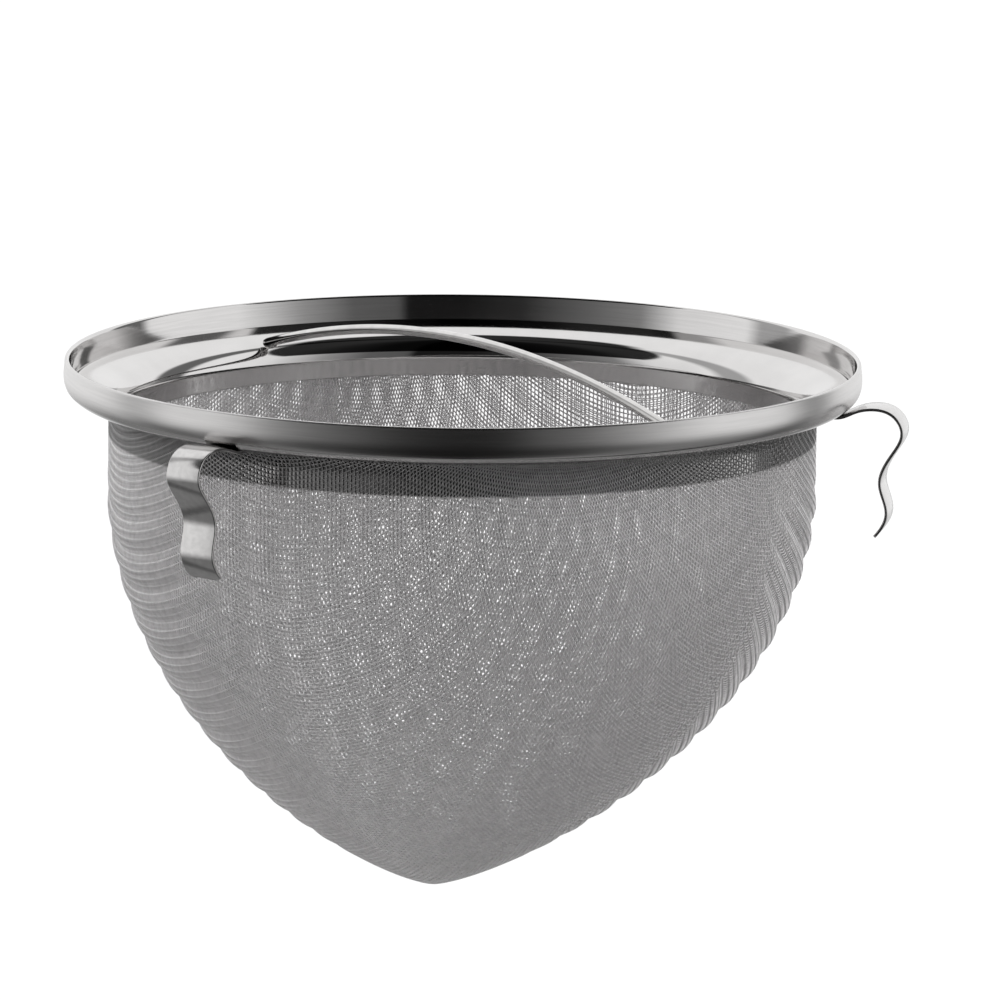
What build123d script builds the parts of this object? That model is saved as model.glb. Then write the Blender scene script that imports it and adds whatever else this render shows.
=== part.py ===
from build123d import *
from math import cos, radians, sin, tan
import os

# Double sieve strainer for a honey tank or bucket. Millimetres, +Z up.
# The origin is the centre of the plane in which the three hooks bear on the tank's edge.
# A fine mesh bag hangs from the rim. A coarse mesh bag on its own funnel ring nests inside it
# and lifts straight out by the wire bow.

# Driving dimensions of the rim, which is one spun sheet
RIM_RADIUS = 130.0
RIM_TOP = 10.6
RIM_SHEET = 0.7
RIM_BEND = 7.0
LIP_WIDTH = 1.9
LIP_EDGE_RADIUS = 124.8
LIP_EDGE_Z = -1.5
LIP_BULGE_Z = 4.2
LIP_BULGE = 0.4
GUTTER_WIDTH = 1.2
GUTTER_BEND = 0.8

# The funnel: a sloping flange that bends down into a collar. These sizes are the polished
# upper surface, which belongs to the coarse sieve's ring.
FUNNEL_RADIUS = 126.2
FUNNEL_Z = 2.5
FUNNEL_SLOPE = 23.0
FUNNEL_BEND = 8.5
COLLAR_RADIUS = 112.2
COLLAR_BOTTOM = -13.7
RING_SHEET = 0.5
RING_CLEARANCE = 0.3

# Mesh bags: a short straight band on the collar, then an ogive that ends in a blunt tip. The fine
# one also follows the rim's bend outwards, under the flange.
MESH_THICKNESS = 0.8
COLLAR_CLEARANCE = 0.4
COARSE_BAND_TOP = -9.6
BAND_BOTTOM = -21.4
FINE_BAND_TURN = 58.0
SHOULDER_Z = -29.4
FINE_TIP_Z = -165.4
COARSE_TIP_Z = -160.4
BAG_POWER = 0.77
TIP_SHIFT = -8.2
SECTIONS = 11
LAST_SECTION = 0.995

# Wire bow of the coarse sieve
BOW_WIRE = 3.2
BOW_END_RADIUS = 115.6
BOW_END_Z = -1.05
BOW_RISE = 17.0
BOW_ANGLES = (125.0, -50.8)

# Hooks: spring strips welded under the rim. They are set and bent by hand, so their places are
# uneven and the left one droops.
HOOK_WIDTH = 13.0
HOOK_SHEET = 1.0
HOOK_TAB_RADIUS = 119.4
HOOK_GAP = 0.1
HOOK_ANGLES = {"hook_right": -10.9, "hook_left": -127.0, "hook_rear": 110.5}
HOOK_DROOPS = {"hook_right": 0.0, "hook_left": 5.5, "hook_rear": 0.0}

# Derived radii, from the inside out: ring collar, coarse mesh, rim collar, fine mesh
COARSE_MESH_IN = COLLAR_RADIUS + RING_SHEET
COARSE_MESH_OUT = COARSE_MESH_IN + MESH_THICKNESS
RIM_COLLAR_IN = COARSE_MESH_OUT + COLLAR_CLEARANCE
FINE_MESH_IN = RIM_COLLAR_IN + RIM_SHEET
FINE_MESH_OUT = FINE_MESH_IN + MESH_THICKNESS


def flange_z(radius, depth):
    """Height of the surface that lies a given depth under the funnel's sloping flange."""
    slope = radians(FUNNEL_SLOPE)
    return FUNNEL_Z - (FUNNEL_RADIUS - radius) * tan(slope) - depth / cos(slope)


def spun_sheet(path, thickness):
    """Sheet of constant thickness, spun round the Z axis from its section's centre line."""
    section = make_face(offset(path, amount=thickness / 2, side=Side.BOTH))
    return revolve(Plane.XZ * section, Axis.Z)


def rim_ring():
    """Collar, flange, upright lip and the outer band that rolls over and curls under."""
    depth = RING_SHEET + RING_CLEARANCE + RIM_SHEET / 2
    collar = RIM_COLLAR_IN + RIM_SHEET / 2
    gutter = FUNNEL_RADIUS + GUTTER_WIDTH
    band_radius = RIM_RADIUS - RIM_SHEET / 2
    lip_outer = band_radius - LIP_BULGE
    lip_inner = lip_outer - LIP_WIDTH + RIM_SHEET
    roll_z = RIM_TOP - LIP_WIDTH / 2
    inside = FilletPolyline(
        (collar, COLLAR_BOTTOM),
        (collar, flange_z(collar, depth)),
        (gutter, flange_z(gutter, depth)),
        (lip_inner, roll_z),
        radius=[RIM_BEND, GUTTER_BEND],
    )
    roll = ThreePointArc(
        (lip_inner, roll_z),
        ((lip_inner + lip_outer) / 2, RIM_TOP - RIM_SHEET / 2),
        (lip_outer, roll_z),
    )
    band = ThreePointArc(
        (lip_outer, roll_z),
        (band_radius - 0.1, LIP_BULGE_Z),
        (LIP_EDGE_RADIUS, LIP_EDGE_Z),
    )
    return spun_sheet(inside + roll + band, RIM_SHEET)


def coarse_sieve_ring():
    """Funnel ring of the lift-out sieve: flange and collar."""
    depth = RING_SHEET / 2
    collar = COLLAR_RADIUS + depth
    path = FilletPolyline(
        (collar, COLLAR_BOTTOM),
        (collar, flange_z(collar, depth)),
        (FUNNEL_RADIUS, flange_z(FUNNEL_RADIUS, depth)),
        radius=FUNNEL_BEND,
    )
    return spun_sheet(path, RING_SHEET)


def bag_solid(radius, tip_z):
    """Filled bag below the straight band. Its tip hangs a little to one side."""
    depth = SHOULDER_Z - tip_z
    sections = [Pos(0, 0, BAND_BOTTOM) * Circle(radius)]
    for step in range(SECTIONS + 1):
        part = LAST_SECTION * sin(radians(90.0 * step / SECTIONS))
        centre = TIP_SHIFT * part**2
        section_radius = radius * (1 - part**2) ** BAG_POWER
        sections.append(Pos(centre, 0, SHOULDER_Z - part * depth) * Circle(section_radius))
    return loft(sections)


def mesh_bag(outer_radius, tip_z, band):
    """Closed thin shell with the bag's true outer shape, open at the top where the band ends."""
    inner_radius = outer_radius - MESH_THICKNESS
    shell = bag_solid(outer_radius, tip_z) - bag_solid(inner_radius, tip_z + 1.5 * MESH_THICKNESS)
    return shell + spun_sheet(band, MESH_THICKNESS)


def coarse_band():
    """Section of the coarse mesh's straight band, on the outside of the ring's collar."""
    middle = COARSE_MESH_OUT - MESH_THICKNESS / 2
    return Line((middle, BAND_BOTTOM), (middle, COARSE_BAND_TOP))


def fine_band():
    """Section of the fine mesh's band: straight up the rim's collar, then round its bend."""
    middle = FINE_MESH_OUT - MESH_THICKNESS / 2
    bend = RIM_BEND - RIM_SHEET / 2 - MESH_THICKNESS / 2
    half_turn = radians(90.0 - FUNNEL_SLOPE) / 2
    corner_z = flange_z(middle, RING_SHEET + RING_CLEARANCE + RIM_SHEET + MESH_THICKNESS / 2)
    bend_z = corner_z - bend * tan(half_turn)
    straight = Line((middle, BAND_BOTTOM), (middle, bend_z))
    return straight + CenterArc((middle + bend, bend_z), bend, 180.0, -FINE_BAND_TURN)


def carry_bow():
    """Round wire arch. Its cut ends are welded down on the funnel's bend."""
    ends = []
    for angle in BOW_ANGLES:
        x = BOW_END_RADIUS * cos(radians(angle))
        y = BOW_END_RADIUS * sin(radians(angle))
        ends.append(Vector(x, y, BOW_END_Z))
    crown = (ends[0] + ends[1]) / 2 + Vector(0, 0, BOW_RISE)
    path = ThreePointArc(ends[0], crown, ends[1])
    start = Plane(origin=path @ 0, z_dir=path % 0)
    return sweep(start * Circle(BOW_WIRE / 2), path=path)


def turned(point, pivot, angle):
    """A point of a section, turned by an angle in degrees round a pivot."""
    c = cos(radians(angle))
    s = sin(radians(angle))
    x = point[0] - pivot[0]
    z = point[1] - pivot[1]
    return (pivot[0] + c * x - s * z, pivot[1] + s * x + c * z)


def spring_hook(angle, droop):
    """Strip that leaves under the lip, arches over the tank's edge and springs against its wall.
    The welded tab stays level, and the rest may be bent down a little, by the angle droop."""
    tab_z = LIP_EDGE_Z - RIM_SHEET / 2 - HOOK_SHEET / 2 - HOOK_GAP
    tab_end = (LIP_EDGE_RADIUS + 1.0, tab_z)
    arch_and_leg = [
        (130.0, -0.7),
        (135.8, HOOK_SHEET / 2),
        (142.5, -1.3),
        (145.6, -6.8),
        (142.5, -14.0),
        (138.6, -24.0),
        (140.9, -33.6),
        (136.9, -41.4),
    ]
    points = [(HOOK_TAB_RADIUS, tab_z - HOOK_GAP), tab_end]
    for point in arch_and_leg:
        points.append(turned(point, tab_end, -droop))
    end_direction = turned((-0.7, -0.75), (0.0, 0.0), -droop)
    path = Plane.XZ * Spline(*points, tangents=[(1, 0), end_direction])
    start = Plane(origin=path @ 0, x_dir=(0, 1, 0), z_dir=path % 0)
    strip = sweep(start * Rectangle(HOOK_WIDTH, HOOK_SHEET), path=path)
    return Rot(0, 0, angle) * strip


nodes = {
    "rim_ring": rim_ring(),
    "fine_mesh_bag": mesh_bag(FINE_MESH_OUT, FINE_TIP_Z, fine_band()),
    "coarse_sieve_ring": coarse_sieve_ring(),
    "coarse_mesh_bag": mesh_bag(COARSE_MESH_OUT, COARSE_TIP_Z, coarse_band()),
    "carry_bow": carry_bow(),
}
for name, angle in HOOK_ANGLES.items():
    nodes[name] = spring_hook(angle, HOOK_DROOPS[name])

os.makedirs("parts", exist_ok=True)
for name, solid in nodes.items():
    export_step(solid, f"parts/{name}.step")
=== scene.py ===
import math

import bpy
import numpy as np
from mathutils import Matrix, Vector


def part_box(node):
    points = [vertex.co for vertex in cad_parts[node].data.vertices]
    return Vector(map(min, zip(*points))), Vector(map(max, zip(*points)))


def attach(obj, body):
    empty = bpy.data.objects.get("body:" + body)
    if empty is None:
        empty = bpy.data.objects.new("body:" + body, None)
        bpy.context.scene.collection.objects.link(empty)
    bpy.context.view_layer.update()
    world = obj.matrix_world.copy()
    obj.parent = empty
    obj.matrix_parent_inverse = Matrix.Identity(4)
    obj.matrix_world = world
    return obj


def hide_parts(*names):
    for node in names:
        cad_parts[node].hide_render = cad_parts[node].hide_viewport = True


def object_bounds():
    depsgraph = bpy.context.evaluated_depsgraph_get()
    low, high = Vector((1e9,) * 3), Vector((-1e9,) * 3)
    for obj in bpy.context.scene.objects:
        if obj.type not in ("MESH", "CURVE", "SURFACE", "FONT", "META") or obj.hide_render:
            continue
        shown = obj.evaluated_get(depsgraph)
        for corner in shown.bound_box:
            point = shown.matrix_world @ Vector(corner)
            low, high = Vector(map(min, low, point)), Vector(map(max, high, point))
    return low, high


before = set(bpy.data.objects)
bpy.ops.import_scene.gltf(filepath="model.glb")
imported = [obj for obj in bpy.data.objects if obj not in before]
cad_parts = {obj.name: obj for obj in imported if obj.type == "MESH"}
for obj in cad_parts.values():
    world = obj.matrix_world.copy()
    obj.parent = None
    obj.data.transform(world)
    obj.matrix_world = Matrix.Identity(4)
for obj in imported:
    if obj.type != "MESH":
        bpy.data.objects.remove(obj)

# Looks of the double sieve strainer, in metres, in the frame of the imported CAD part.
# Both bags are drawn as draped woven wire: every wire is a tube that passes over and under the
# wires it crosses. The rim, the lift-out ring, the bow and the hooks are steel sheet and wire,
# drawn again here with rounded edges and fine round steps.

cad_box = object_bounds()

# ---------------------------------------------------------------- sizes
# They are the CAD's, except that the lip and the gutter inside it are narrower (1.9 and 1.2 mm in
# the CAD), which makes the lip's inner wall lean more.

RIM_RADIUS = 0.1300
RIM_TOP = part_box("rim_ring")[1].z
RIM_SHEET = 0.0007
RIM_BEND = 0.0070
LIP_WIDTH = 0.00155
LIP_EDGE = (0.1248, -0.0015)
LIP_TURN = (RIM_RADIUS - 0.0016, 0.0009)
LIP_BULGE_Z = 0.0042
LIP_BULGE = 0.0004
GUTTER_WIDTH = 0.00085
GUTTER_BEND = 0.0008
FUNNEL_RADIUS = 0.1262
FUNNEL_Z = 0.0025
FUNNEL_SLOPE = math.radians(23.0)
FUNNEL_BEND = 0.0085
COLLAR_RADIUS = 0.1122
COLLAR_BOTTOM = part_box("rim_ring")[0].z
RING_SHEET = 0.0005
RING_CLEARANCE = 0.0003
RIM_COLLAR = 0.11425

FINE_RADIUS = 0.1150
COARSE_RADIUS = 0.1131
FINE_TIP_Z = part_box("fine_mesh_bag")[0].z + 0.0004
COARSE_TIP_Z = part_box("coarse_mesh_bag")[0].z + 0.0004
FINE_BAND_TURN = math.radians(58.0)
COARSE_BAND_TOP = -0.0096
SHOULDER_Z = -0.0294
BAG_POWER = 0.77
TIP_SHIFT = -0.0082

BOW_WIRE = 0.0032
BOW_END_RADIUS = 0.1156
BOW_END_Z = -0.00105
BOW_RISE = 0.0170
BOW_ANGLES = (125.0, -50.8)

HOOK_WIDTH = 0.0130
HOOK_SHEET = 0.0010
HOOK_TAB_Z = -0.00245
HOOKS = {"hook_right": (-10.9, 0.0), "hook_left": (-127.0, 5.5), "hook_rear": (110.5, 0.0)}


# ---------------------------------------------------------------- camera, floor and light

VIEW_ELEVATION = 10.5
VIEW_ROLL = 0.576
VIEW_DISTANCE = 3.3545
VIEW_LENS = 370.15
VIEW_AIM = Vector((0.012454, 0.0, -0.036146))


def add_camera():
    """The camera looks along +Y and down on the strainer, from far enough away to flatten it."""
    data = bpy.data.cameras.new("camera")
    data.lens = VIEW_LENS
    data.sensor_width = 36.0
    data.clip_start = 0.1
    data.clip_end = 100.0
    camera = bpy.data.objects.new("camera", data)
    bpy.context.scene.collection.objects.link(camera)
    tilt = math.radians(VIEW_ELEVATION)
    back = Vector((0.0, -math.cos(tilt), math.sin(tilt)))
    place = Matrix.Translation(VIEW_AIM + back * VIEW_DISTANCE)
    turn = Matrix.Rotation(math.radians(90.0 - VIEW_ELEVATION), 4, "X")
    roll = Matrix.Rotation(math.radians(VIEW_ROLL), 4, "Z")
    camera.matrix_world = place @ turn @ roll
    bpy.context.scene.camera = camera


def mesh_object(name, points, faces, material, smooth=True):
    """A mesh object from arrays: points, and four-sided faces as rows of point numbers."""
    faces = np.asarray(faces)
    mesh = bpy.data.meshes.new(name)
    mesh.vertices.add(len(points))
    mesh.vertices.foreach_set("co", np.asarray(points, dtype=np.float32).ravel())
    mesh.loops.add(faces.size)
    mesh.loops.foreach_set("vertex_index", faces.ravel().astype(np.int32))
    mesh.polygons.add(len(faces))
    mesh.polygons.foreach_set("loop_start", np.arange(len(faces), dtype=np.int32) * 4)
    mesh.update(calc_edges=True)
    mesh.polygons.foreach_set("use_smooth", np.full(len(faces), smooth))
    mesh.materials.append(material)
    piece = bpy.data.objects.new(name, mesh)
    bpy.context.scene.collection.objects.link(piece)
    return piece


def add_floor():
    """A plain white floor below the strainer, lit by white surroundings."""
    z = cad_box[0].z - 0.25
    far = 40.0
    material = bpy.data.materials.new("floor_white")
    material.use_nodes = True
    shader = material.node_tree.nodes["Principled BSDF"]
    shader.inputs["Base Color"].default_value = (0.93, 0.93, 0.93, 1.0)
    shader.inputs["Roughness"].default_value = 1.0
    shader.inputs["Specular IOR Level"].default_value = 0.0
    corners = [(-far, -far, z), (far, -far, z), (far, far, z), (-far, far, z)]
    floor = mesh_object("floor", corners, [(0, 1, 2, 3)], material, smooth=False)
    floor.visible_glossy = False
    floor.visible_shadow = False

    world = bpy.data.worlds.new("studio")
    world.use_nodes = True
    world.node_tree.nodes["Background"].inputs["Color"].default_value = (1.0, 1.0, 1.0, 1.0)
    world.node_tree.nodes["Background"].inputs["Strength"].default_value = 1.15
    bpy.context.scene.world = world


DOME_RADIUS = 6.0
CEILING = 0.03
# How the height of a direction, or its way to the back, turns into a tone or into the height of
# the walls' upper edge: from, to, value at from, value at to
EAVES = (-0.3, 0.2, 0.5, 0.86)
GROUND = (-0.5, -0.15, 0.22, 1.0)
# Brightness of the tent's walls against the turn from the front, in degrees, to the right: the
# back, the gap beside it, the left wall, the dark front, the right wall, a gap and the back again
TENT = ((-180.0, 1.0), (-118.0, 1.0), (-112.0, 0.45), (-100.0, 0.45), (-94.0, 1.0), (-68.0, 0.85),
        (-55.0, 0.26), (-39.0, 0.15), (-18.0, 0.03), (0.0, 0.012), (17.0, 0.012), (20.0, 0.11),
        (34.0, 0.13), (50.0, 0.36), (72.0, 0.95), (108.0, 1.0), (112.0, 0.16), (126.0, 0.16),
        (130.0, 1.0), (180.0, 1.0))


def add_tent():
    """What the steel mirrors, a tent round the strainer: white walls at the back and the sides, a
    dark front, a dark ceiling and a grey ground. Only reflections see it."""
    material = bpy.data.materials.new("tent")
    material.use_nodes = True
    tree = material.node_tree
    nodes, links = tree.nodes, tree.links
    nodes.remove(nodes["Principled BSDF"])
    place = nodes.new("ShaderNodeTexCoord")
    unit = nodes.new("ShaderNodeVectorMath")
    unit.operation = "NORMALIZE"
    links.new(place.outputs["Object"], unit.inputs[0])
    split = nodes.new("ShaderNodeSeparateXYZ")
    links.new(unit.outputs["Vector"], split.inputs["Vector"])

    def ramp(source, low, high, to_low, to_high):
        node = nodes.new("ShaderNodeMapRange")
        node.inputs["From Min"].default_value = low
        node.inputs["From Max"].default_value = high
        node.inputs["To Min"].default_value = to_low
        node.inputs["To Max"].default_value = to_high
        links.new(source, node.inputs["Value"])
        return node.outputs["Result"]

    def combine(operation, first, second):
        node = nodes.new("ShaderNodeMath")
        node.operation = operation
        links.new(first, node.inputs[0])
        links.new(second, node.inputs[1])
        return node.outputs["Value"]

    front = nodes.new("ShaderNodeMath")
    front.operation = "MULTIPLY"
    front.inputs[1].default_value = -1.0
    links.new(split.outputs["Y"], front.inputs[0])
    turn = combine("ARCTAN2", split.outputs["X"], front.outputs["Value"])
    walls = nodes.new("ShaderNodeValToRGB")
    stops = walls.color_ramp.elements
    while len(stops) < len(TENT):
        stops.new(0.5)
    for stop, (degrees, value) in zip(stops, TENT, strict=True):
        stop.position = degrees / 360.0 + 0.5
        stop.color = (value, value, value, 1.0)
    links.new(ramp(turn, -math.pi, math.pi, 0.0, 1.0), walls.inputs["Fac"])
    eaves = ramp(split.outputs["Y"], *EAVES)
    over = combine("SUBTRACT", split.outputs["Z"], eaves)
    below_ceiling = combine("MULTIPLY", walls.outputs["Color"], ramp(over, 0.0, 0.03, 1.0, CEILING))
    ground = ramp(split.outputs["Z"], *GROUND)
    above_ground = combine("MULTIPLY", below_ceiling, ground)

    glow = nodes.new("ShaderNodeEmission")
    links.new(above_ground, glow.inputs["Strength"])
    links.new(glow.outputs["Emission"], nodes["Material Output"].inputs["Surface"])

    points, faces = [], []
    steps, turns = 24, 48
    for i in range(steps + 1):
        tilt = math.pi * (i + 0.01) / (steps + 0.02)
        for k in range(turns):
            round_it = 2.0 * math.pi * k / turns
            points.append((math.sin(tilt) * math.cos(round_it), math.sin(tilt) * math.sin(round_it),
                           math.cos(tilt)))
            if i < steps:
                a, b = i * turns + k, i * turns + (k + 1) % turns
                faces.append((a, a + turns, b + turns, b))
    tent = mesh_object("tent", np.array(points) * DOME_RADIUS, faces, material)
    tent.visible_camera = False
    tent.visible_diffuse = False
    tent.visible_shadow = False
    tent.visible_transmission = False


# ---------------------------------------------------------------- materials


def steel(name, colour, roughness, spread, grain, metallic=1.0, dent=0.0, satin=None, collar_shade=None):
    """Stainless steel whose colour and roughness wander a little over the surface. A metallic value
    below 1 only softens the glints of fine wire. satin = (radius, roughness) is for spun pieces: the
    surface outside that radius is rougher, and its grain runs round the piece. The last argument,
    (height, tone), is painted shade for wire cloth: above that height, where the cloth lies over a
    collar, its colour is multiplied by tone, which paints in the collar's shadow and dark reflection."""
    material = bpy.data.materials.new(name)
    material.use_nodes = True
    tree = material.node_tree
    nodes, links = tree.nodes, tree.links
    shader = nodes["Principled BSDF"]
    shader.inputs["Metallic"].default_value = metallic
    place = nodes.new("ShaderNodeTexCoord")
    where = place.outputs["Object"]

    if satin:
        split = nodes.new("ShaderNodeSeparateXYZ")
        links.new(where, split.inputs["Vector"])
        flat = nodes.new("ShaderNodeVectorMath")
        flat.operation = "MULTIPLY"
        flat.inputs[1].default_value = (1.0, 1.0, 0.0)
        links.new(where, flat.inputs[0])
        radius = nodes.new("ShaderNodeVectorMath")
        radius.operation = "LENGTH"
        links.new(flat.outputs["Vector"], radius.inputs[0])
        turn = nodes.new("ShaderNodeMath")
        turn.operation = "ARCTAN2"
        links.new(split.outputs["Y"], turn.inputs[0])
        links.new(split.outputs["X"], turn.inputs[1])
        slow = nodes.new("ShaderNodeMath")
        slow.operation = "MULTIPLY"
        slow.inputs[1].default_value = 0.004
        links.new(turn.outputs["Value"], slow.inputs[0])
        spun = nodes.new("ShaderNodeCombineXYZ")
        links.new(radius.outputs["Value"], spun.inputs["X"])
        links.new(slow.outputs["Value"], spun.inputs["Y"])
        links.new(split.outputs["Z"], spun.inputs["Z"])
        where = spun.outputs["Vector"]

    blotch = nodes.new("ShaderNodeTexNoise")
    blotch.inputs["Scale"].default_value = grain
    blotch.inputs["Detail"].default_value = 3.0
    links.new(where, blotch.inputs["Vector"])

    tone = nodes.new("ShaderNodeValToRGB")
    low = [c * (1.0 - spread) for c in colour]
    high = [min(1.0, c * (1.0 + spread)) for c in colour]
    tone.color_ramp.elements[0].position = 0.35
    tone.color_ramp.elements[0].color = (*low, 1.0)
    tone.color_ramp.elements[1].position = 0.65
    tone.color_ramp.elements[1].color = (*high, 1.0)
    links.new(blotch.outputs["Fac"], tone.inputs["Fac"])
    colour_out = tone.outputs["Color"]
    # Painted shade: above the given height the colour is multiplied by tone, darkening the wire where it
    # lies over a collar, in place of the collar's shadow and reflection.
    if collar_shade:
        height = nodes.new("ShaderNodeSeparateXYZ")
        links.new(where, height.inputs["Vector"])
        shade_ramp = nodes.new("ShaderNodeMapRange")
        shade_ramp.inputs["From Min"].default_value = collar_shade[0] - 0.0004
        shade_ramp.inputs["From Max"].default_value = collar_shade[0] + 0.0004
        shade_ramp.inputs["To Min"].default_value = 1.0
        shade_ramp.inputs["To Max"].default_value = collar_shade[1]
        links.new(height.outputs["Z"], shade_ramp.inputs["Value"])
        shaded_colour = nodes.new("ShaderNodeVectorMath")
        shaded_colour.operation = "SCALE"
        links.new(colour_out, shaded_colour.inputs[0])
        links.new(shade_ramp.outputs["Result"], shaded_colour.inputs["Scale"])
        colour_out = shaded_colour.outputs["Vector"]
    links.new(colour_out, shader.inputs["Base Color"])

    rough = nodes.new("ShaderNodeMapRange")
    rough.inputs["To Min"].default_value = roughness * 0.8
    rough.inputs["To Max"].default_value = roughness * 1.25
    links.new(blotch.outputs["Fac"], rough.inputs["Value"])
    roughness_out = rough.outputs["Result"]
    if satin:
        outside = nodes.new("ShaderNodeMapRange")
        outside.inputs["From Min"].default_value = satin[0] - 0.0002
        outside.inputs["From Max"].default_value = satin[0] + 0.0002
        outside.inputs["To Max"].default_value = satin[1]
        links.new(radius.outputs["Value"], outside.inputs["Value"])
        total = nodes.new("ShaderNodeMath")
        total.operation = "ADD"
        links.new(roughness_out, total.inputs[0])
        links.new(outside.outputs["Result"], total.inputs[1])
        roughness_out = total.outputs["Value"]
    links.new(roughness_out, shader.inputs["Roughness"])

    if dent:
        bump = nodes.new("ShaderNodeBump")
        bump.inputs["Strength"].default_value = 1.0
        bump.inputs["Distance"].default_value = dent
        links.new(blotch.outputs["Fac"], bump.inputs["Height"])
        links.new(bump.outputs["Normal"], shader.inputs["Normal"])
    return material


# ---------------------------------------------------------------- sheet steel


def bent_path(corners, radii, step=0.0004):
    """Section of a bent sheet: straight runs between the corners, rounded at the inner ones."""
    corners = [np.array(c) for c in corners]
    points = [corners[0]]
    for before, corner, after, radius in zip(corners, corners[1:], corners[2:], radii, strict=False):
        inward = (before - corner) / np.linalg.norm(before - corner)
        outward = (after - corner) / np.linalg.norm(after - corner)
        half = math.acos(float(np.clip(inward @ outward, -1.0, 1.0))) / 2.0
        middle = (inward + outward) / np.linalg.norm(inward + outward)
        centre = corner + middle * radius / math.sin(half)
        start = corner + inward * radius / math.tan(half) - centre
        end = corner + outward * radius / math.tan(half) - centre
        sweep = math.pi - 2.0 * half
        count = max(4, int(radius * sweep / step))
        for k in range(count + 1):
            t = k / count
            points.append(centre + (math.sin((1.0 - t) * sweep) * start + math.sin(t * sweep) * end)
                          / math.sin(sweep))
    points.append(corners[-1])
    return even_steps(np.array(points), step)


def even_steps(points, step):
    """The same line with evenly spaced points."""
    run = np.concatenate([[0.0], np.cumsum(np.linalg.norm(np.diff(points, axis=0), axis=1))])
    count = max(2, int(round(run[-1] / step)) + 1)
    at = np.linspace(0.0, run[-1], count)
    return np.stack([np.interp(at, run, points[:, k]) for k in range(points.shape[1])], 1)


def sheet_outline(path, thickness):
    """Closed outline of a sheet round its middle line, with rounded edges."""
    along = np.gradient(path, axis=0)
    along /= np.linalg.norm(along, axis=1, keepdims=True)
    side = np.stack([-along[:, 1], along[:, 0]], 1) * thickness / 2.0
    caps = []
    for end, sign in ((-1, 1.0), (0, -1.0)):
        for k in range(1, 6):
            turn = math.pi * k / 6.0
            forward = along[end] * sign * thickness / 2.0
            caps.append(path[end] + side[end] * sign * math.cos(turn) + forward * math.sin(turn))
    return np.concatenate([path + side, caps[:5], (path - side)[::-1], caps[5:]])


def spun(name, outline, material, turns=600):
    """The closed outline, in (radius, z), spun round the Z axis."""
    turn = np.arange(turns) * 2.0 * math.pi / turns
    ring = np.stack([outline[:, 0][None] * np.cos(turn)[:, None],
                     outline[:, 0][None] * np.sin(turn)[:, None],
                     np.broadcast_to(outline[:, 1], (turns, len(outline)))], -1)
    i, k = np.meshgrid(np.arange(turns), np.arange(len(outline)), indexing="ij")
    i_next, k_next = (i + 1) % turns, (k + 1) % len(outline)
    width = len(outline)
    faces = np.stack([i * width + k, i * width + k_next, i_next * width + k_next,
                      i_next * width + k], -1).reshape(-1, 4)
    return mesh_object(name, ring.reshape(-1, 3), faces, material)


def flange_z(radius, depth):
    """Height of the surface that lies a given depth under the funnel's sloping flange."""
    drop = (FUNNEL_RADIUS - radius) * math.tan(FUNNEL_SLOPE)
    return FUNNEL_Z - drop - depth / math.cos(FUNNEL_SLOPE)


def rim_section():
    """Collar, flange, upright lip, and the outer band that rolls over the top and curls under."""
    depth = RING_SHEET + RING_CLEARANCE + RIM_SHEET / 2.0
    gutter = FUNNEL_RADIUS + GUTTER_WIDTH
    band_radius = RIM_RADIUS - RIM_SHEET / 2.0
    lip_outer = band_radius - LIP_BULGE
    lip_inner = lip_outer - LIP_WIDTH + RIM_SHEET
    roll_z = RIM_TOP - LIP_WIDTH / 2.0
    inside = bent_path(
        [(RIM_COLLAR, COLLAR_BOTTOM), (RIM_COLLAR, flange_z(RIM_COLLAR, depth)),
         (gutter, flange_z(gutter, depth)), (lip_inner, roll_z)],
        [RIM_BEND, GUTTER_BEND],
    )
    roll_middle = (lip_inner + lip_outer) / 2.0
    roll_radius = (lip_outer - lip_inner) / 2.0
    turn = np.linspace(math.pi, 0.0, 9)[1:]
    roll = np.stack([roll_middle + roll_radius * np.cos(turn),
                     roll_z + (LIP_WIDTH - RIM_SHEET) / 2.0 * np.sin(turn)], 1)
    band = curve_through([(lip_outer, roll_z), (band_radius - 0.0001, LIP_BULGE_Z),
                          LIP_TURN, LIP_EDGE], (0.05, -1.0), (-1.0, -0.42))
    return even_steps(np.concatenate([inside, roll, band[1:]]), 0.00035)


def ring_section():
    """Flange and collar of the lift-out sieve."""
    depth = RING_SHEET / 2.0
    collar = COLLAR_RADIUS + depth
    return bent_path(
        [(collar, COLLAR_BOTTOM), (collar, flange_z(collar, depth)),
         (FUNNEL_RADIUS, flange_z(FUNNEL_RADIUS, depth))],
        [FUNNEL_BEND],
    )


def curve_through(points, first, last, step=0.0004):
    """A smooth curve through points, with its directions at both ends given."""
    p = np.array(points)
    gap = np.linalg.norm(np.diff(p, axis=0), axis=1)
    count = len(p)
    left, right = np.zeros((count, count)), np.zeros((count, p.shape[1]))
    left[0, 0] = left[-1, -1] = 1.0
    right[0] = np.array(first) / np.linalg.norm(first)
    right[-1] = np.array(last) / np.linalg.norm(last)
    for i in range(1, count - 1):
        left[i, i - 1] = 1.0 / gap[i - 1]
        left[i, i] = 2.0 / gap[i - 1] + 2.0 / gap[i]
        left[i, i + 1] = 1.0 / gap[i]
        right[i] = 3.0 * ((p[i] - p[i - 1]) / gap[i - 1] ** 2 + (p[i + 1] - p[i]) / gap[i] ** 2)
    slope = np.linalg.solve(left, right)
    dense = []
    for i in range(count - 1):
        t = np.linspace(0.0, 1.0, 40, endpoint=i == count - 2)[:, None]
        dense.append((2 * t**3 - 3 * t**2 + 1) * p[i] + (3 * t**2 - 2 * t**3) * p[i + 1]
                     + gap[i] * ((t**3 - 2 * t**2 + t) * slope[i] + (t**3 - t**2) * slope[i + 1]))
    return even_steps(np.concatenate(dense), step)


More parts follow.
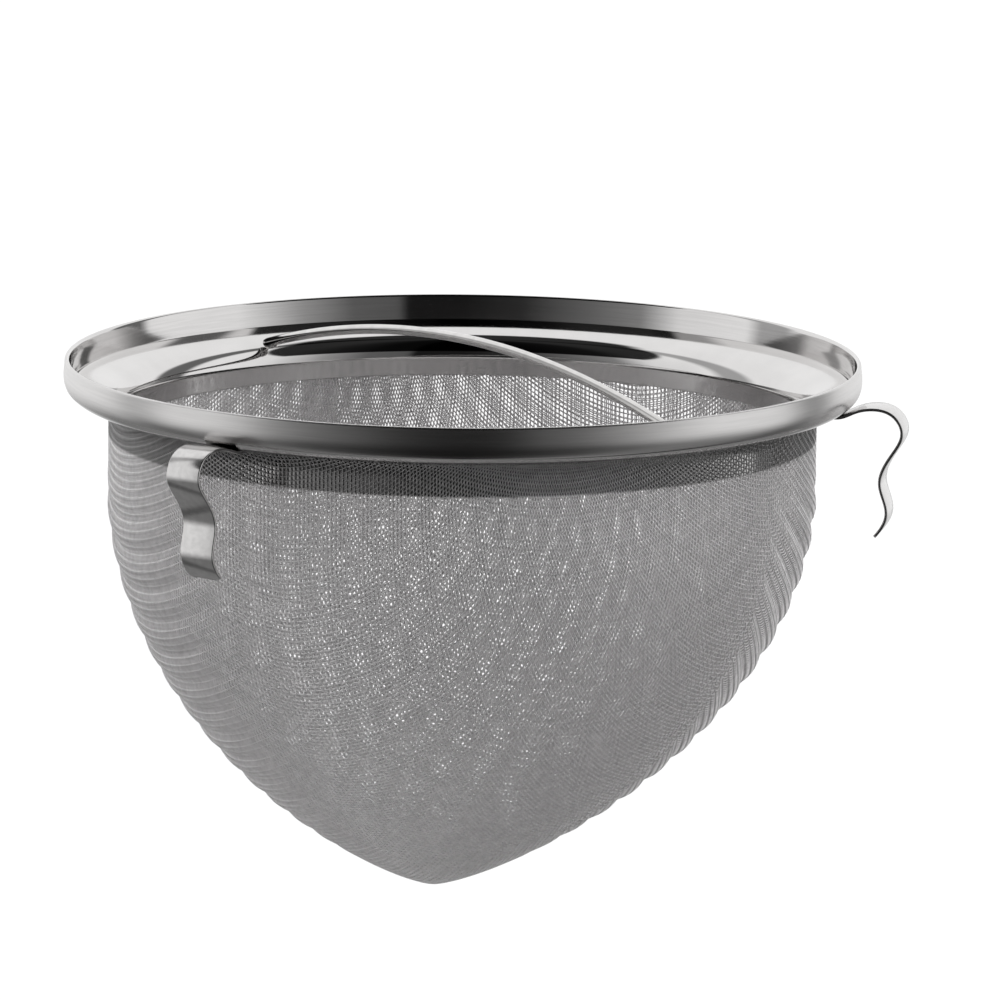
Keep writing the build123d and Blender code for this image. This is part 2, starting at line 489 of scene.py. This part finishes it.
def turned(point, pivot, angle):
    """A point of a section, turned by an angle round a pivot."""
    c, s = math.cos(angle), math.sin(angle)
    x, z = point[0] - pivot[0], point[1] - pivot[1]
    return (pivot[0] + c * x - s * z, pivot[1] + s * x + c * z)


HOOK_PATH = [(0.1300, -0.0007), (0.1358, 0.0005), (0.1425, -0.0013), (0.1456, -0.0068),
             (0.1425, -0.0140), (0.1386, -0.0240), (0.1409, -0.0336), (0.1369, -0.0414)]


def swept(name, centres, across, out, section, material):
    """A closed bar: the section's (across, out) points, carried along the centres. section is one
    outline, or one for each centre."""
    section = np.broadcast_to(section, (len(centres), *np.shape(section)[-2:]))
    ring = (centres[:, None] + section[..., :1] * across[:, None] + section[..., 1:] * out[:, None])
    width = ring.shape[1]
    i, k = np.meshgrid(np.arange(len(centres) - 1), np.arange(width), indexing="ij")
    k_next = (k + 1) % width
    faces = [np.stack([i * width + k, i * width + k_next, (i + 1) * width + k_next,
                       (i + 1) * width + k], -1).reshape(-1, 4)]
    points = ring.reshape(-1, 3)
    for start, flip in ((0, True), ((len(centres) - 1) * width, False)):
        half = width // 2
        k = np.arange(half - 1)
        cap = start + np.stack([k, k + 1, width - 2 - k, width - 1 - k], -1)
        faces.append(cap[:, ::-1] if flip else cap)
    return mesh_object(name, points, np.concatenate(faces), material)


def rounded_strip(half_width, half_sheet, edge):
    """Outline of a flat strip with eased edges, starting at the middle of one narrow side."""
    outline = []
    for across, out, start in ((1, 1, 0.0), (-1, 1, 90.0), (-1, -1, 180.0), (1, -1, 270.0)):
        for k in range(5):
            turn = math.radians(start + 22.5 * k)
            outline.append((across * (half_width - edge) + edge * math.cos(turn),
                            out * (half_sheet - edge) + edge * math.sin(turn)))
    return np.array(outline)


def hook(name, azimuth, droop, material):
    """One spring strip with eased edges and rounded corners at both ends."""
    tab_end = (LIP_EDGE[0] + 0.001, HOOK_TAB_Z)
    bend = -math.radians(droop)
    points = [(0.1194, HOOK_TAB_Z - 0.0001), tab_end]
    points += [turned(point, tab_end, bend) for point in HOOK_PATH]
    step = 0.00035
    path = curve_through(points, (1.0, 0.0), turned((-0.7, -0.75), (0.0, 0.0), bend), step=step)
    along = np.gradient(path, axis=0)
    along /= np.linalg.norm(along, axis=1, keepdims=True)
    turn = math.radians(azimuth)
    outward = np.array([math.cos(turn), math.sin(turn), 0.0])
    up = np.array([0.0, 0.0, 1.0])
    centres = path[:, :1] * outward + path[:, 1:] * up
    out = -along[:, 1:] * outward + along[:, :1] * up
    across = np.broadcast_to([-math.sin(turn), math.cos(turn), 0.0], centres.shape)
    run = np.linspace(0.0, 1.0, len(path)) * step * (len(path) - 1)
    corner = 0.0016
    left = np.clip(np.minimum(run, run[-1] - run), 0.0, corner)
    half_width = HOOK_WIDTH / 2.0 - corner + np.sqrt(corner**2 - (corner - left) ** 2)
    section = np.array([rounded_strip(h, HOOK_SHEET / 2.0, 0.00035) for h in half_width])
    piece = swept(name, centres, across, out, section, material)
    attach(piece, "hung_frame")
    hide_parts(name)


def bow(material):
    """Round wire arch whose cut ends are welded down on the funnel's bend."""
    steps = 160
    ends = [np.array([BOW_END_RADIUS * math.cos(math.radians(a)),
                      BOW_END_RADIUS * math.sin(math.radians(a)), BOW_END_Z]) for a in BOW_ANGLES]
    chord = ends[1] - ends[0]
    span = float(np.linalg.norm(chord))
    radius = (span**2 / 4.0 + BOW_RISE**2) / (2.0 * BOW_RISE)
    half = math.asin(span / 2.0 / radius)
    turn = np.linspace(-half, half, steps)
    level = chord / span
    up = np.array([0.0, 0.0, 1.0])
    centres = ((ends[0] + ends[1]) / 2.0 + np.outer(radius * np.sin(turn), level)
               + np.outer(radius * np.cos(turn) - (radius - BOW_RISE), up))
    along = np.outer(np.cos(turn), level) - np.outer(np.sin(turn), up)
    across = np.broadcast_to(np.cross(level, up), centres.shape)
    out = np.cross(across, along)
    around = 2.0 * math.pi * np.arange(28) / 28.0
    circle = np.stack([np.cos(around), np.sin(around)], -1) * BOW_WIRE / 2.0
    run = np.linspace(0.0, span, steps)
    bevel = np.clip(np.minimum(run, span - run) / 0.0004, 0.0, 1.0) * 0.15 + 0.85
    piece = swept("carry_bow_wire", centres, across, out, circle * bevel[:, None, None], material)
    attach(piece, "coarse_sieve")
    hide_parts("carry_bow")
    for number, (centre, direction) in enumerate(((centres[0], along[0]), (centres[-1], -along[-1]))):
        bead = weld_bead(f"carry_bow_weld_{number + 1}", centre + direction * 0.0040, direction, material)
        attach(bead, "coarse_sieve")
        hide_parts("carry_bow")


def weld_bead(name, centre, direction, material):
    """An uneven lump of weld metal between the wire's underside and the funnel."""
    up = np.array([0.0, 0.0, 1.0])
    along = np.array([direction[0], direction[1], 0.0])
    along /= np.linalg.norm(along)
    across = np.cross(up, along)
    reach = np.linspace(-1.0, 1.0, 25)
    middles = centre - up * 0.00150 + np.outer(reach * 0.0022, along)
    middles[:, 2] -= 0.0003 * (1.0 - reach)
    size = np.sqrt(np.clip(1.0 - reach**2, 0.02, 1.0)) * (1.0 + 0.07 * np.sin(reach * 17.0))
    around = 2.0 * math.pi * np.arange(20) / 20.0
    lump = 1.0 + 0.06 * np.sin(3.0 * around[None] + 4.0 * reach[:, None])
    section = np.stack([np.cos(around)[None] * lump * size[:, None] * 0.0013,
                        np.sin(around)[None] * lump * size[:, None] * 0.0006], -1)
    flat = np.broadcast_to(across, middles.shape)
    return swept(name, middles, flat, np.broadcast_to(up, middles.shape), section, material)


# ---------------------------------------------------------------- the woven bags

WIRE_TURN = math.radians(-30.0)
WIRE_SIDES = 4
FINE_PITCH = 0.00145
FINE_WIRE_RADIUS = 0.00022
FINE_RIPPLE = 0.0013
COARSE_PITCH = 0.00165
COARSE_WIRE_RADIUS = 0.00025
COARSE_RIPPLE = 0.0003
RIPPLE_STEP = 9 * FINE_PITCH


class BagShape:
    """A bag's middle surface: a band below the rim, then an ogive down to its tip. The band is the
    part above the shoulder, as (radius, z) points from low to high. ripple is the size of the
    ripples on its flanks."""

    def __init__(self, radius, tip_z, band, ripple):
        self.tip_z = tip_z
        self.ripple = ripple
        turn = np.linspace(0.0, math.pi / 2, 6001)
        part = np.cos(turn)
        low = np.stack([radius * (1.0 - part**2) ** BAG_POWER,
                        SHOULDER_Z - part * (SHOULDER_Z - tip_z)], 1)
        line = np.concatenate([low, band])
        run = np.linalg.norm(np.diff(line, axis=0), axis=1)
        self.s = np.concatenate([[0.0], np.cumsum(run)])
        self.r, self.z = line.T
        self.length = self.s[-1]
        self.slope_r = np.gradient(self.r, self.s)
        self.slope_z = np.gradient(self.z, self.s)

    def point(self, a, b):
        """The point a distance hypot(a, b) up the wall from the tip, in the direction (a, b)."""
        s = np.maximum(np.hypot(a, b), 1e-9)
        r = np.interp(s, self.s, self.r)
        z = np.interp(s, self.s, self.z) + np.maximum(s - self.length, 0.0)
        return np.stack([r * a / s, r * b / s, z], -1)

    def normal(self, a, b):
        s = np.maximum(np.hypot(a, b), 1e-9)
        up = np.interp(s, self.s, self.slope_z)
        out = -np.interp(s, self.s, self.slope_r)
        n = np.stack([up * a / s, up * b / s, out], -1)
        return n / np.linalg.norm(n, axis=-1, keepdims=True)

    def sag(self, points):
        """The tip hangs a little off centre, and the wall leans with it."""
        part = np.clip((SHOULDER_Z - points[..., 2]) / (SHOULDER_Z - self.tip_z), 0.0, 1.0)
        moved = points.copy()
        moved[..., 0] += TIP_SHIFT * part**2
        return moved


def ripple(a, b, thread_sum):
    """Height of the shallow ripples on the bag's two flanks, as a share of the bag's own ripple
    size. They run along lines of equal thread count from the tip, with round crests and narrow
    grooves, and die out before the rim."""
    s = np.maximum(np.hypot(a, b), 1e-9)
    flank = np.clip((abs(a) / s - 0.62) / 0.28, 0.0, 1.0)
    flank = flank * flank * (3.0 - 2.0 * flank)
    near_rim = np.clip((0.195 - s) / 0.014, 0.0, 1.0)
    near_tip = np.clip((s - 0.030) / 0.040, 0.0, 1.0)
    wave = abs(np.sin(math.pi * thread_sum / RIPPLE_STEP)) - 0.6
    return flank * near_rim * near_tip * wave


def drape_quarter(bag, pitch):
    """Square-meshed cloth laid on a quarter of the bag from the tip: the places (a, b) of its
    crossings, each one pitch from its two neighbours. Crossings past the edge are nan."""
    count = int(bag.length / pitch) + 3
    a = np.full((count + 1, count + 1), np.nan)
    b = a.copy()
    a[:, 0] = b[0, :] = np.arange(count + 1) * pitch
    b[:, 0] = a[0, :] = 0.0
    nudge = pitch * 1e-3
    for k in range(2, 2 * count + 1):
        i = np.arange(max(1, k - count), min(count, k - 1) + 1)
        j = k - i
        known = ~np.isnan(a[i - 1, j]) & ~np.isnan(a[i, j - 1])
        i, j = i[known], j[known]
        if len(i) == 0:
            break
        p = bag.point(a[i - 1, j], b[i - 1, j])
        q = bag.point(a[i, j - 1], b[i, j - 1])
        x = a[i - 1, j] + a[i, j - 1] - a[i - 1, j - 1]
        y = b[i - 1, j] + b[i, j - 1] - b[i - 1, j - 1]
        for _ in range(8):
            here = bag.point(x, y)
            from_p, from_q = here - p, here - q
            f = (from_p**2).sum(-1) - pitch**2
            g = (from_q**2).sum(-1) - pitch**2
            along_x = (bag.point(x + nudge, y) - bag.point(x - nudge, y)) / nudge
            along_y = (bag.point(x, y + nudge) - bag.point(x, y - nudge)) / nudge
            fx, fy = (from_p * along_x).sum(-1), (from_p * along_y).sum(-1)
            gx, gy = (from_q * along_x).sum(-1), (from_q * along_y).sum(-1)
            det = fx * gy - fy * gx
            det = np.where(abs(det) < 1e-14, 1e-14, det)
            x = x - np.clip((gy * f - fy * g) / det, -pitch / 2, pitch / 2)
            y = y - np.clip((fx * g - gx * f) / det, -pitch / 2, pitch / 2)
        good = np.hypot(x, y) < bag.length + 2.5 * pitch
        a[i, j] = np.where(good, x, np.nan)
        b[i, j] = np.where(good, y, np.nan)
    return a, b


def drape(bag, pitch):
    """The whole cloth: four turned copies of one quarter, as (a, b) over a square of crossings."""
    qa, qb = drape_quarter(bag, pitch)
    n = qa.shape[0] - 1
    a = np.full((2 * n + 1, 2 * n + 1), np.nan)
    b = a.copy()
    u, v = np.meshgrid(np.arange(n + 1), np.arange(n + 1), indexing="ij")
    pa, pb = qa, qb
    for _ in range(4):
        a[u + n, v + n] = pa
        b[u + n, v + n] = pb
        u, v = -v, u
        pa, pb = -pb, pa
    c, s = math.cos(WIRE_TURN), math.sin(WIRE_TURN)
    return a * c - b * s, a * s + b * c


def wires(bag, a, b, pitch, radius, lift_sign):
    """Every wire that runs along the first index, as centre points and wall normals, with the
    wires' ends cut at the band's top edge."""
    n = (a.shape[0] - 1) // 2
    index = np.arange(-n, n + 1)
    centres, normals = [], []
    for j in range(a.shape[1]):
        s = np.hypot(a[:, j], b[:, j])
        inside = np.where(~np.isnan(s) & (s <= bag.length))[0]
        if len(inside) < 2:
            continue
        first, last = inside[0], inside[-1]
        wa, wb = a[first : last + 1, j], b[first : last + 1, j]
        lift = np.where((index[first : last + 1] + index[j]) % 2 == 0, 1.0, -1.0)
        threads = (abs(index[first : last + 1]) + abs(index[j])) * pitch
        for end, beyond in ((0, first - 1), (len(wa) - 1, last + 1)):
            if 0 <= beyond < a.shape[0] and not np.isnan(a[beyond, j]):
                s_in, s_out = np.hypot(wa[end], wb[end]), np.hypot(a[beyond, j], b[beyond, j])
                t = (bag.length - s_in) / max(s_out - s_in, 1e-9)
                if t > 0.12:
                    ea = wa[end] + t * (a[beyond, j] - wa[end])
                    eb = wb[end] + t * (b[beyond, j] - wb[end])
                    el = lift[end] * (1.0 - 2.0 * t)
                    where = 0 if end == 0 else len(wa)
                    wa, wb = np.insert(wa, where, ea), np.insert(wb, where, eb)
                    lift = np.insert(lift, where, el)
                    threads = np.insert(threads, where, threads[end])
        normal = bag.normal(wa, wb)
        height = lift * lift_sign * radius * 0.92 + bag.ripple * ripple(wa, wb, threads)
        centres.append(bag.sag(bag.point(wa, wb) + normal * height[:, None]))
        normals.append(normal)
    return centres, normals


def tube_mesh(name, centres, normals, radius, material):
    """One mesh of closed tubes, each through its own list of centre points."""
    turn = (np.arange(WIRE_SIDES) + 0.5) * 2.0 * math.pi / WIRE_SIDES
    points, quads, caps, start = [], [], [], 0
    for c, n in zip(centres, normals, strict=True):
        along = np.gradient(c, axis=0)
        along /= np.linalg.norm(along, axis=1, keepdims=True)
        across = np.cross(along, n)
        across /= np.linalg.norm(across, axis=1, keepdims=True)
        out = np.cross(across, along)
        ring = (
            c[:, None]
            + radius * np.cos(turn)[None, :, None] * across[:, None]
            + radius * np.sin(turn)[None, :, None] * out[:, None]
        )
        points.append(ring.reshape(-1, 3))
        step = np.arange(len(c) - 1)[:, None] * WIRE_SIDES + start
        k = np.arange(WIRE_SIDES)[None, :]
        k_next = (k + 1) % WIRE_SIDES
        quads.append(
            np.stack(
                [step + k, step + WIRE_SIDES + k, step + WIRE_SIDES + k_next, step + k_next], -1
            ).reshape(-1, 4)
        )
        last = start + (len(c) - 1) * WIRE_SIDES
        caps.append(start + np.arange(WIRE_SIDES))
        caps.append(last + np.arange(WIRE_SIDES)[::-1])
        start += len(c) * WIRE_SIDES
    faces = np.concatenate([*quads, np.array(caps)])
    return mesh_object(name, np.concatenate(points), faces, material)


MOST_SEGMENTS = 22000


def weave_bag(node, body, bag, pitch, wire_radius, material):
    """Both sets of wires of one bag, as pieces small enough to handle, each with whole wires."""
    a, b = drape(bag, pitch)
    for family, sign, ga, gb in (("warp", 1.0, a, b), ("weft", -1.0, a.T, b.T)):
        centres, normals = wires(bag, ga, gb, pitch, wire_radius, sign)
        total = sum(len(c) for c in centres)
        groups = max(1, math.ceil(total / MOST_SEGMENTS))
        reached, picked = 0, [[] for _ in range(groups)]
        for k, c in enumerate(centres):
            picked[min(groups - 1, int(reached * groups / total))].append(k)
            reached += len(c)
        for group, members in enumerate(picked):
            piece = tube_mesh(
                f"{node}_{family}_{group + 1}",
                [centres[k] for k in members],
                [normals[k] for k in members],
                wire_radius,
                material,
            )
            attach(piece, body)
            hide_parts(node)


def fine_band():
    """The fine mesh's band: straight up the rim's collar, then round its bend, under the flange."""
    bend = RIM_BEND - (FINE_RADIUS - RIM_COLLAR)
    half_turn = (math.pi / 2.0 - FUNNEL_SLOPE) / 2.0
    depth = RING_SHEET + RING_CLEARANCE + RIM_SHEET / 2.0 + (FINE_RADIUS - RIM_COLLAR)
    bend_z = flange_z(FINE_RADIUS, depth) - bend * math.tan(half_turn)
    turn = np.linspace(0.0, FINE_BAND_TURN, 25)
    return np.stack([FINE_RADIUS + bend * (1.0 - np.cos(turn)), bend_z + bend * np.sin(turn)], 1)


add_camera()
add_floor()
add_tent()
bpy.context.scene.view_settings.view_transform = "Standard"

# The fine wire is painted darker above the collar's bottom: painted shade for the collar's shadow and
# dark reflection behind the cloth.
fine_steel = steel("fine_wire_steel", (0.90, 0.885, 0.89), 0.36, 0.08, 420.0, metallic=0.8,
                   collar_shade=(COLLAR_BOTTOM, 0.42))
coarse_steel = steel("coarse_wire_steel", (0.84, 0.825, 0.83), 0.36, 0.08, 420.0, metallic=0.8)
coarse_band = np.array([(COARSE_RADIUS, COARSE_BAND_TOP)])
fine_bag = BagShape(FINE_RADIUS, FINE_TIP_Z, fine_band(), FINE_RIPPLE)
coarse_bag = BagShape(COARSE_RADIUS, COARSE_TIP_Z, coarse_band, COARSE_RIPPLE)
weave_bag("fine_mesh_bag", "hung_frame", fine_bag, FINE_PITCH, FINE_WIRE_RADIUS,
          fine_steel)
weave_bag("coarse_mesh_bag", "coarse_sieve", coarse_bag, COARSE_PITCH,
          COARSE_WIRE_RADIUS, coarse_steel)

rim_steel = steel("rim_steel", (0.70, 0.69, 0.685), 0.07, 0.04, 1500.0, dent=0.000002,
                  satin=(0.1287, 0.22))
ring_steel = steel("ring_steel", (0.72, 0.71, 0.705), 0.06, 0.03, 60.0)
bow_steel = steel("bow_steel", (0.72, 0.71, 0.70), 0.10, 0.05, 300.0)
hook_steel = steel("hook_steel", (0.68, 0.67, 0.665), 0.16, 0.05, 500.0)

rim = spun("rim_sheet", sheet_outline(rim_section(), RIM_SHEET), rim_steel)
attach(rim, "hung_frame")
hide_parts("rim_ring")
ring = spun("sieve_ring_sheet", sheet_outline(ring_section(), RING_SHEET), ring_steel)
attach(ring, "coarse_sieve")
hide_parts("coarse_sieve_ring")
bow(bow_steel)
for node, (azimuth, droop) in HOOKS.items():
    hook(node, azimuth, droop, hook_steel)
